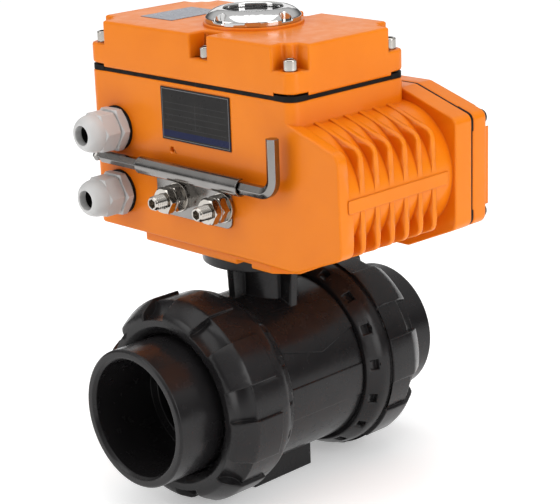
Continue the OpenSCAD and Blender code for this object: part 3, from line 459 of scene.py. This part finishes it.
def nameplate_film():
    """Charcoal plate with a pale rim, a blue band and blank ruled rows."""
    paint = Paint("nameplate_film", roughness=0.3)
    (x0, _, z0), (x1, _, z1) = ([c / MM for c in corner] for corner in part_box("nameplate"))
    tone = paint.ramp(paint.noise(10, 4), [(0.3, (0.014, 0.013, 0.013)), (0.7, (0.020, 0.019, 0.018))])
    band = paint.within("Z", z0 + 1.8, z0 + 5.2)
    tone = paint.mix(band, tone, (0.008, 0.012, 0.05))
    rows = [("Z", z1 - 8 - 3.2 * k, 0.1, "X", x0 + 3, x1 - 3) for k in range(5)]
    rows.append(("X", (x0 + x1) / 2, 0.1, "Z", z1 - 20.8, z1 - 8))
    tone = lined(paint, tone, rows, (0.045, 0.045, 0.045))
    rim = [
        ("Z", z0 + 0.9, 0.16, "X", x0 + 0.8, x1 - 0.8), ("Z", z1 - 0.9, 0.16, "X", x0 + 0.8, x1 - 0.8),
        ("X", x0 + 0.9, 0.16, "Z", z0 + 0.8, z1 - 0.8), ("X", x1 - 0.9, 0.16, "Z", z0 + 0.8, z1 - 0.8),
    ]
    tone = lined(paint, tone, rim, (0.16, 0.16, 0.17))
    paint.shader.inputs["Specular IOR Level"].default_value = 0.12
    rough = paint.remap(paint.noise(4, 4), 0.25, 0.4, 0.3, 0.7)
    paint.bump(paint.noise(0.4, 2), 0.004)
    return paint.done(tone, rough)


def plain(name, colour, roughness, metallic=0.0, vary=0.15, grain=0.5, depth=0.01, shine=0.5):
    """A moulded or machined surface with fine grain and patchy gloss."""
    paint = Paint(name, metallic=metallic)
    paint.shader.inputs["Specular IOR Level"].default_value = shine
    dark = tuple(c * (1 - vary) for c in colour)
    tone = paint.ramp(paint.noise(12, 4), [(0.3, dark), (0.7, colour)])
    rough = paint.remap(paint.noise(4, 4), roughness * 0.8, roughness * 1.25, 0.3, 0.7)
    paint.bump(paint.noise(grain, 2), depth)
    return paint.done(tone, rough)


def clear_window():
    paint = Paint("clear_window", roughness=0.03, ior=1.49)
    paint.shader.inputs["Transmission Weight"].default_value = 1.0
    tone = paint.ramp(paint.noise(8, 3), [(0.3, (0.86, 0.89, 0.90)), (0.7, (0.95, 0.97, 0.97))])
    rough = paint.remap(paint.noise(1.5, 3), 0.02, 0.06, 0.3, 0.7)
    return paint.done(tone, rough)


PLAIN = {
    "black_rubber": dict(colour=(0.007, 0.007, 0.007), roughness=0.6, shine=0.12),
    "bright_fasteners": dict(colour=(0.50, 0.47, 0.43), roughness=0.12, metallic=1.0),
    "black_fasteners": dict(colour=(0.012, 0.012, 0.012), roughness=0.35, metallic=0.2, shine=0.3),
    "zinc_steel": dict(colour=(0.60, 0.60, 0.58), roughness=0.35, metallic=1.0),
    "chrome_ring": dict(colour=(0.66, 0.655, 0.65), roughness=0.06, metallic=1.0, vary=0.05, depth=0.002),
    "black_plastic": dict(colour=(0.015, 0.015, 0.015), roughness=0.45, shine=0.3),
    "label_film": dict(colour=(0.25, 0.26, 0.30), roughness=0.3),
    "polished_steel": dict(colour=(0.27, 0.26, 0.25), roughness=0.17, metallic=1.0),
    "grey_nylon": dict(colour=(0.53, 0.527, 0.52), roughness=0.38, vary=0.06),
    "motor_steel": dict(colour=(0.45, 0.46, 0.48), roughness=0.4, metallic=1.0),
    "motor_aluminium": dict(colour=(0.75, 0.76, 0.77), roughness=0.35, metallic=1.0),
    "gear_brass": dict(colour=(0.76, 0.56, 0.25), roughness=0.3, metallic=1.0),
    "white_plastic": dict(colour=(0.85, 0.84, 0.80), roughness=0.4),
    "green_plastic": dict(colour=(0.02, 0.16, 0.06), roughness=0.45),
}

MATERIALS = {name: plain(name, **look) for name, look in PLAIN.items()}
MATERIALS["orange_casting"] = orange_casting()
MATERIALS["clear_window"] = clear_window()
MATERIALS["dark_pvc"] = dark_pvc()

# ---------------------------------------------------------------- assembly

bpy.context.scene.view_settings.view_transform = "Standard"
add_camera()
add_world()
add_floor()
for light in LIGHTS:
    add_area_light(*light)

for node, piece in NODES.items():
    piece.data.materials.clear()
    piece.data.materials.append(MATERIALS[SLOT_OF[node]])

# Widths of the rounded edges in millimetres
ROUNDED = {
    "lower_housing": 1.0,
    "top_cover": 1.3,
    "rear_cover": 1.2,
    "valve_body": 0.6,
    "union_nut_front": 0.6,
    "union_nut_rear": 0.6,
    "end_connector_front": 0.4,
    "end_connector_rear": 0.4,
    "gland_bodies": 0.3,
    "gland_cap_upper": 0.3,
    "gland_cap_lower": 0.3,
    "cover_bolts": 0.25,
    "indicator_bezel": 0.3,
    "stop_lock_nuts": 0.2,
    "stop_washers": 0.2,
    "key_clip": 0.2,
    "hex_key": 0.35,
}
for node, width in ROUNDED.items():
    refined(node, width)
for node in ("stop_screw_left", "stop_screw_right"):
    threaded_screw(node)

NODES["nameplate"].data.materials.clear()
NODES["nameplate"].data.materials.append(nameplate_film())
